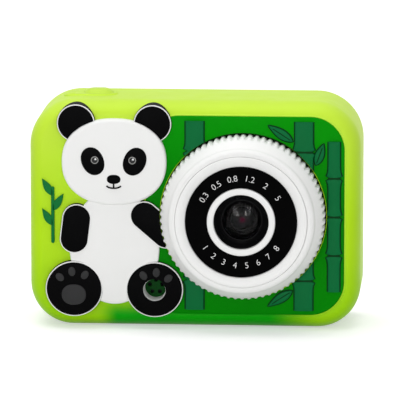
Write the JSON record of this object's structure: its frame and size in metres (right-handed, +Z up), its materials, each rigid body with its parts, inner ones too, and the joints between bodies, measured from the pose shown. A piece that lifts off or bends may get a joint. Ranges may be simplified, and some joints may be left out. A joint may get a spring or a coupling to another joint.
{
  "type": "kids digital camera",
  "caption": "Toy digital camera in a soft moulded sleeve with a raised animal relief, a knurled lens ring that turns, a top shutter button, a back screen and press keys.",
  "frame": {"origin": "on the underside of the sleeve, under the middle of the camera", "axes": "+Z up, the lens looks along -Y, +X to the right of someone facing the lens"},
  "size_m": [0.092, 0.04, 0.065],
  "materials": {
    "lime_silicone": "soft matt moulded silicone",
    "green_silicone": "soft matt moulded silicone",
    "cane_green": "soft matt moulded silicone",
    "white_silicone": "soft matt moulded silicone",
    "black_silicone": "soft matt moulded silicone",
    "white_plastic": "satin moulded plastic",
    "black_plastic": "gloss moulded plastic",
    "grey_plastic": "moulded plastic",
    "lens_glass": "clear coated glass",
    "clear_acrylic": "clear acrylic over a dark display",
    "body_green": "satin moulded plastic",
    "key_lime": "satin moulded plastic",
    "board_green": "solder mask",
    "steel": "plain steel",
    "battery_foil": "foil pouch"
  },
  "bodies": {
    "camera_body": {"battery": "battery_foil", "bear_arm_left": "black_silicone", "bear_arm_right": "black_silicone", "bear_ear_left": "black_silicone", "bear_ear_right": "black_silicone", "bear_eye_patch_left": "black_silicone", "bear_eye_patch_right": "black_silicone", "bear_foot_left": "black_silicone", "bear_foot_right": "black_silicone", "bear_head": "white_silicone", "bear_nose": "black_silicone", "bear_torso": "white_silicone", "cane_left_bottom": "cane_green", "cane_left_top": "cane_green", "cane_slim": "cane_green", "cane_wide_bottom": "cane_green", "cane_wide_top": "cane_green", "card_socket": "steel", "case_screw_1": "steel", "case_screw_2": "steel", "case_screw_3": "steel", "case_screw_4": "steel", "front_lens": "lens_glass", "front_shell": "body_green", "image_sensor": "black_plastic", "inner_ring": "white_plastic", "lcd_panel": "black_plastic", "leaf_bottom": "cane_green", "leaf_side": "cane_green", "leaf_sprig": "green_silicone", "leaf_top": "cane_green", "lens_barrel": "grey_plastic", "lens_bezel": "white_plastic", "lens_holder": "black_plastic", "lens_panel": "green_silicone", "main_board": "board_green", "microphone": "steel", "rear_shell": "body_green", "screen_window": "clear_acrylic", "sensor_board": "board_green", "silicone_case": "lime_silicone", "speaker": "steel", "switch_down": "steel", "switch_left": "steel", "switch_ok": "steel", "switch_power": "steel", "switch_right": "steel", "switch_shutter": "steel", "switch_up": "steel", "trim_ring": "black_plastic", "usb_socket": "steel"},
    "lens_ring": {"lens_ring": "white_plastic"},
    "shutter_button": {"shutter_button": "key_lime"},
    "key_down": {"key_down": "key_lime"},
    "key_left": {"key_left": "key_lime"},
    "key_ok": {"key_ok": "key_lime"},
    "key_right": {"key_right": "key_lime"},
    "key_up": {"key_up": "key_lime"},
    "power_button": {"power_button": "key_lime"}
  },
  "joints": [
    {"name": "lens_ring_turn", "type": "hinge", "parent": "camera_body", "child": "lens_ring", "pos_m": [0.0137, 0, 0.0322], "axis": [0, -1, 0], "continuous": true},
    {"name": "shutter_press", "type": "slide", "parent": "camera_body", "child": "shutter_button", "axis": [0, 0, -1], "range_m": [0, 0.0008], "stiffness_N_per_m": 800},
    {"name": "key_down_press", "type": "slide", "parent": "camera_body", "child": "key_down", "axis": [0, -1, 0], "range_m": [0, 0.0007], "stiffness_N_per_m": 800},
    {"name": "key_left_press", "type": "slide", "parent": "camera_body", "child": "key_left", "axis": [0, -1, 0], "range_m": [0, 0.0007], "stiffness_N_per_m": 800},
    {"name": "key_ok_press", "type": "slide", "parent": "camera_body", "child": "key_ok", "axis": [0, -1, 0], "range_m": [0, 0.0007], "stiffness_N_per_m": 800},
    {"name": "key_right_press", "type": "slide", "parent": "camera_body", "child": "key_right", "axis": [0, -1, 0], "range_m": [0, 0.0007], "stiffness_N_per_m": 800},
    {"name": "key_up_press", "type": "slide", "parent": "camera_body", "child": "key_up", "axis": [0, -1, 0], "range_m": [0, 0.0007], "stiffness_N_per_m": 800},
    {"name": "power_button_press", "type": "slide", "parent": "camera_body", "child": "power_button", "axis": [0, -1, 0], "range_m": [0, 0.0007], "stiffness_N_per_m": 800}
  ]
}
